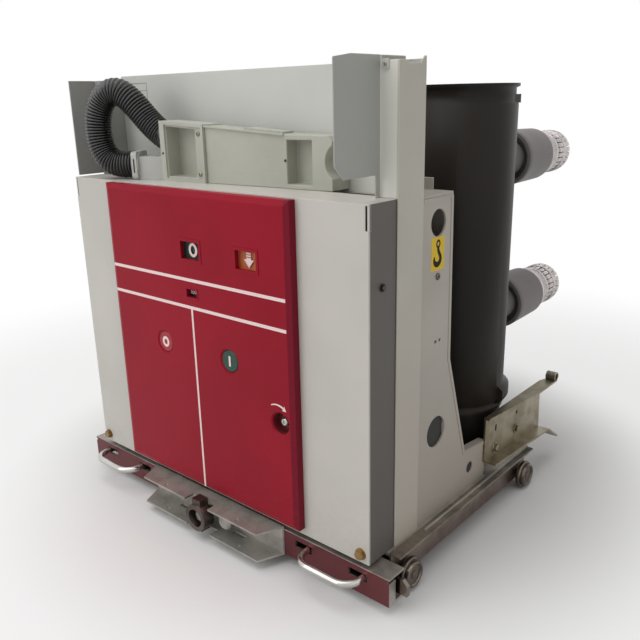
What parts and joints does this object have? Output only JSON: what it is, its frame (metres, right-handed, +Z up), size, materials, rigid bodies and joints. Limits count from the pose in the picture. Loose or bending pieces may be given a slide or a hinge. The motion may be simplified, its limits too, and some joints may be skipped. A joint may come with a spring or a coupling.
{
  "type": "withdrawable vacuum circuit breaker",
  "caption": "Withdrawable medium-voltage vacuum circuit breaker on a racking truck, with a red operating cover, barrel poles behind and tulip contacts on arms.",
  "frame": {"origin": "on the floor under the middle of the part's box", "axes": "+X to the operator's right, +Y from the front panel towards the contact arms, +Z up"},
  "size_m": [0.68, 0.71, 0.682],
  "materials": {
    "housing_paint": "satin",
    "cover_red": "satin",
    "zinc_plate": "satin",
    "rail_zinc": "yellow passivated",
    "chrome_bar": "polished",
    "wheel_steel": "turned",
    "pole_resin": "satin",
    "sleeve_grey": "satin",
    "silvered_copper": "silver plated",
    "plug_plastic": "satin",
    "elbow_plastic": "satin",
    "hose_black": "satin",
    "indicator_green": "satin",
    "indicator_orange": "satin",
    "counter_black": "gloss",
    "button_red": "satin",
    "button_green": "satin",
    "shaft_steel": "turned",
    "brass_bolt": "plain"
  },
  "bodies": {
    "truck": {"truck_deck": "zinc_plate", "truck_rail_left": "zinc_plate", "truck_rail_right": "zinc_plate", "nut_plate": "zinc_plate", "rear_crossbar": "zinc_plate", "housing_front": "housing_paint", "upright_left": "housing_paint", "upright_right": "housing_paint", "partition_plate": "housing_paint", "frame_side_left": "housing_paint", "frame_side_right": "housing_paint", "back_plate": "housing_paint", "top_plate": "housing_paint", "front_cover": "cover_red", "state_indicator": "indicator_green", "spring_indicator": "indicator_orange", "operation_counter": "counter_black", "earth_bolts": "brass_bolt", "pole_left": "pole_resin", "pole_centre": "pole_resin", "pole_right": "pole_resin", "arm_upper_left": "sleeve_grey", "arm_upper_centre": "sleeve_grey", "arm_upper_right": "sleeve_grey", "arm_lower_left": "sleeve_grey", "arm_lower_centre": "sleeve_grey", "arm_lower_right": "sleeve_grey", "tulip_upper_left": "silvered_copper", "tulip_upper_centre": "silvered_copper", "tulip_upper_right": "silvered_copper", "tulip_lower_left": "silvered_copper", "tulip_lower_centre": "silvered_copper", "tulip_lower_right": "silvered_copper", "shutter_rail_left": "rail_zinc", "shutter_rail_right": "rail_zinc", "plug_socket": "plug_plastic", "plug_cover": "plug_plastic", "plug_grip": "plug_plastic", "hose_elbow": "elbow_plastic", "hose": "hose_black"},
    "racking_carriage": {"racking_beam": "zinc_plate", "crank_channel": "zinc_plate", "crank_ring": "zinc_plate", "guide_bar_left": "zinc_plate", "guide_bar_right": "zinc_plate"},
    "screw": {"racking_screw": "shaft_steel"},
    "handle_left": {"handle_left": "chrome_bar"},
    "handle_right": {"handle_right": "chrome_bar"},
    "wheel_front_left": {"wheel_front_left": "wheel_steel"},
    "wheel_front_right": {"wheel_front_right": "wheel_steel"},
    "wheel_rear_left": {"wheel_rear_left": "wheel_steel"},
    "wheel_rear_right": {"wheel_rear_right": "wheel_steel"},
    "open_button": {"open_button": "button_red"},
    "close_button": {"close_button": "button_green"},
    "charging_shaft": {"charging_shaft": "shaft_steel"}
  },
  "joints": [
    {"name": "wheel_front_left_roll", "type": "hinge", "parent": "truck", "child": "wheel_front_left", "pos_m": [-0.3145, -0.243, 0.023], "axis": [1, 0, 0], "continuous": true},
    {"name": "wheel_front_right_roll", "type": "hinge", "parent": "truck", "child": "wheel_front_right", "pos_m": [0.3145, -0.243, 0.023], "axis": [1, 0, 0], "continuous": true},
    {"name": "wheel_rear_left_roll", "type": "hinge", "parent": "truck", "child": "wheel_rear_left", "pos_m": [-0.3145, 0.098, 0.023], "axis": [1, 0, 0], "continuous": true},
    {"name": "wheel_rear_right_roll", "type": "hinge", "parent": "truck", "child": "wheel_rear_right", "pos_m": [0.3145, 0.098, 0.023], "axis": [1, 0, 0], "continuous": true},
    {"name": "racking_slide", "type": "slide", "parent": "truck", "child": "racking_carriage", "axis": [0, -1, 0], "range_m": [0, 0.2]},
    {"name": "racking_screw_turn", "type": "hinge", "parent": "racking_carriage", "child": "screw", "pos_m": [0, -0.331, 0.0375], "axis": [0, 1, 0], "range_deg": [-1, 12001]},
    {"name": "handle_left_slide", "type": "slide", "parent": "racking_carriage", "child": "handle_left", "axis": [1, 0, 0], "range_m": [0, 0.018], "stiffness_N_per_m": 900, "springref_m": -0.01},
    {"name": "handle_right_slide", "type": "slide", "parent": "racking_carriage", "child": "handle_right", "axis": [-1, 0, 0], "range_m": [0, 0.018], "stiffness_N_per_m": 900, "springref_m": -0.01},
    {"name": "open_button_press", "type": "slide", "parent": "truck", "child": "open_button", "axis": [0, 1, 0], "range_m": [0, 0.005], "stiffness_N_per_m": 700, "springref_m": -0.004},
    {"name": "close_button_press", "type": "slide", "parent": "truck", "child": "close_button", "axis": [0, 1, 0], "range_m": [0, 0.005], "stiffness_N_per_m": 700, "springref_m": -0.004},
    {"name": "charging_shaft_turn", "type": "hinge", "parent": "truck", "child": "charging_shaft", "pos_m": [0.1585, -0.311, 0.228], "axis": [0, 1, 0], "continuous": true}
  ],
  "couplings": [
    {"joint": "racking_screw_turn", "follows": "racking_slide", "rad_per_m": 1047.2}
  ]
}
